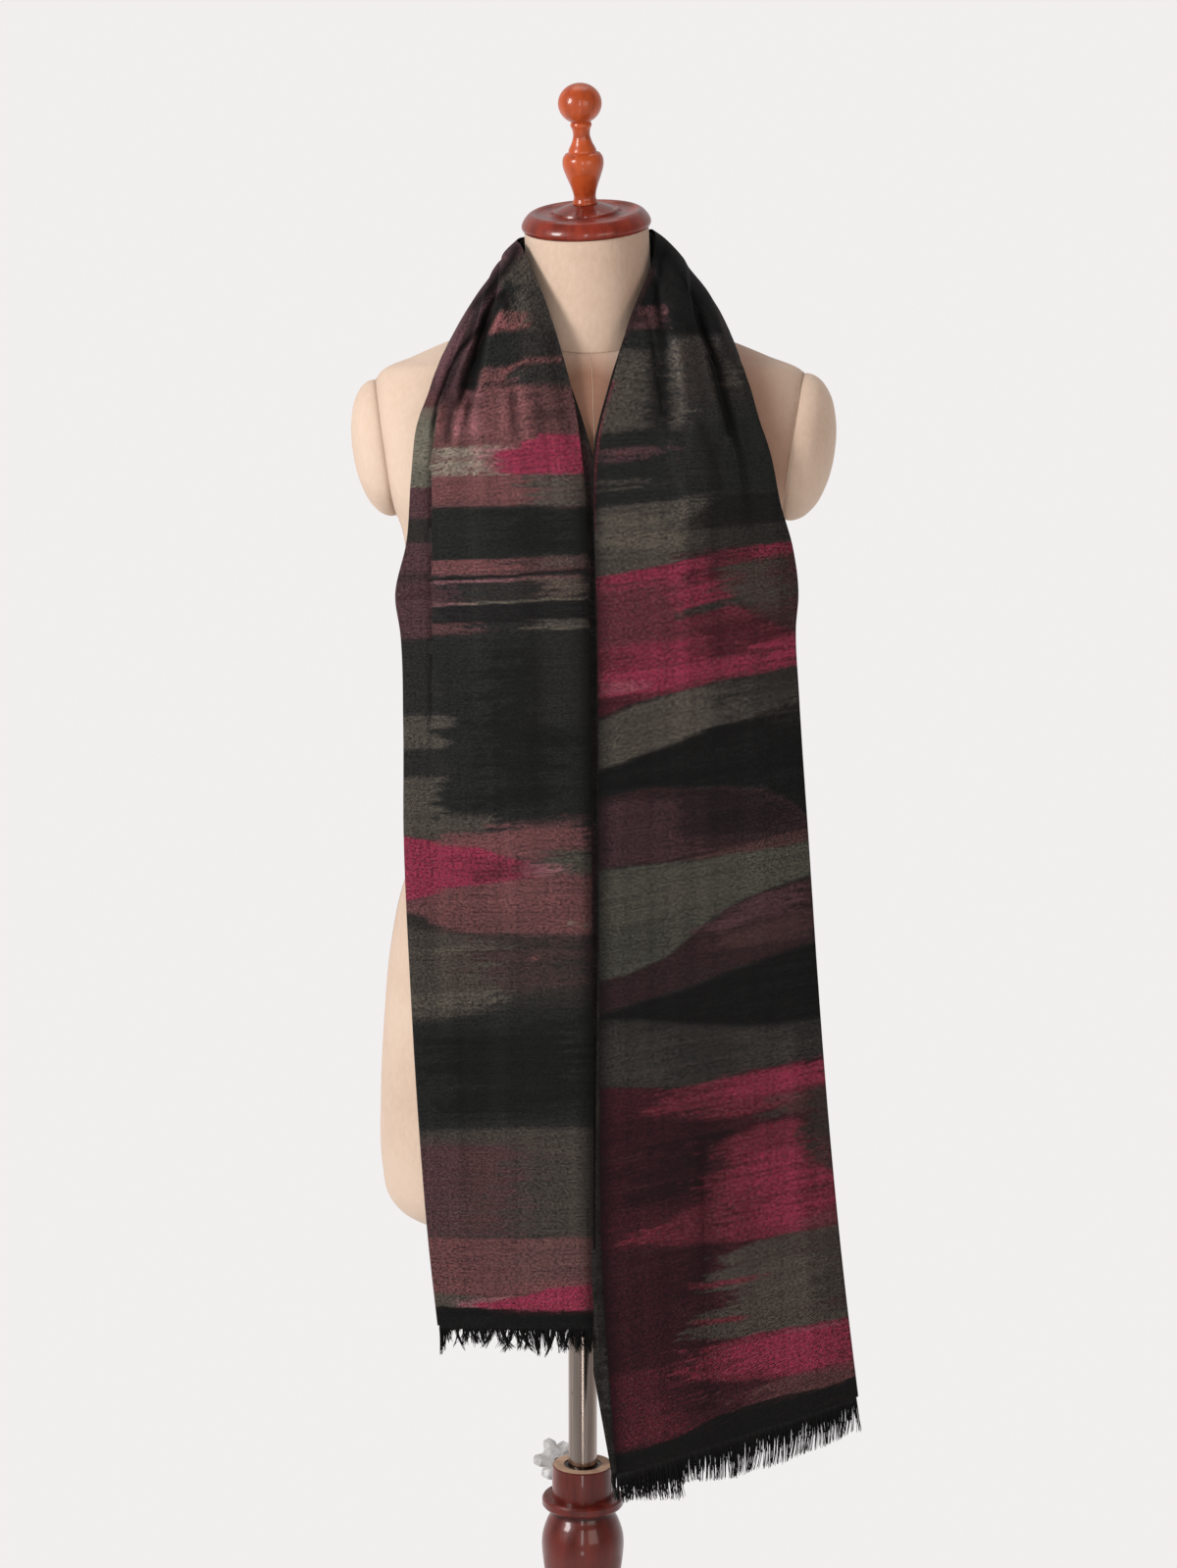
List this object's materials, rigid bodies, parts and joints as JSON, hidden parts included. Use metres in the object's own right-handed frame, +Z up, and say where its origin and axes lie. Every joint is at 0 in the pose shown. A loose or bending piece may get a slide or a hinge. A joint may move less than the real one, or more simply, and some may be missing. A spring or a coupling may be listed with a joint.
{
  "type": "pashmina shawl on a dress form",
  "caption": "Pashmina shawl with blurred weft bands and fringed ends, hung round the neck of a limbless dress form on a turned wooden stand.",
  "frame": {"origin": "on the floor under the pole, in the middle of the round base's underside", "axes": "+Z up along the pole, -Y towards the front of the form, +X to the viewer's right"},
  "size_m": [0.4314, 0.4, 1.61],
  "materials": {
    "shawl_cloth": "fine twill of black warp with plum, magenta and grey weft, soft sheen",
    "fringe_wool": "black wool threads",
    "form_cover": "beige brushed cloth, matte",
    "wood": "turned, red-brown stain, gloss varnish",
    "pole_steel": "polished tube with fine scratches",
    "dark_steel": "darkened steel",
    "knob_plastic": "clear plastic, slightly frosted"
  },
  "bodies": {
    "stand": {"stand_base": "wood", "stand_column": "wood", "pole_bush": "dark_steel", "clamp_nut": "dark_steel"},
    "knob": {"clamp_knob": "knob_plastic", "clamp_screw": "dark_steel"},
    "pole": {"pole": "pole_steel"},
    "form": {"form_torso": "form_cover", "form_cap_left": "form_cover", "form_cap_right": "form_cover", "form_neck": "form_cover", "neck_cap": "wood", "finial": "wood", "shawl_left_tail": "shawl_cloth", "shawl_neck": "shawl_cloth", "shawl_right_tail": "shawl_cloth", "shawl_right_under_layer": "shawl_cloth", "fringe_left_front": "fringe_wool", "fringe_left_back": "fringe_wool", "fringe_right_front": "fringe_wool", "fringe_right_back": "fringe_wool", "fringe_right_under": "fringe_wool"}
  },
  "joints": [
    {"name": "height_slide", "type": "slide", "parent": "stand", "child": "pole", "axis": [0, 0, 1], "range_m": [-0.15, 0.12]},
    {"name": "form_turn", "type": "hinge", "parent": "pole", "child": "form", "pos_m": [0, 0, 0.66], "axis": [0, 0, 1], "continuous": true},
    {"name": "knob_turn", "type": "hinge", "parent": "stand", "child": "knob", "pos_m": [0, 0, 0.4225], "axis": [-0.54, 0.8417, 0], "range_deg": [0, 360]}
  ]
}
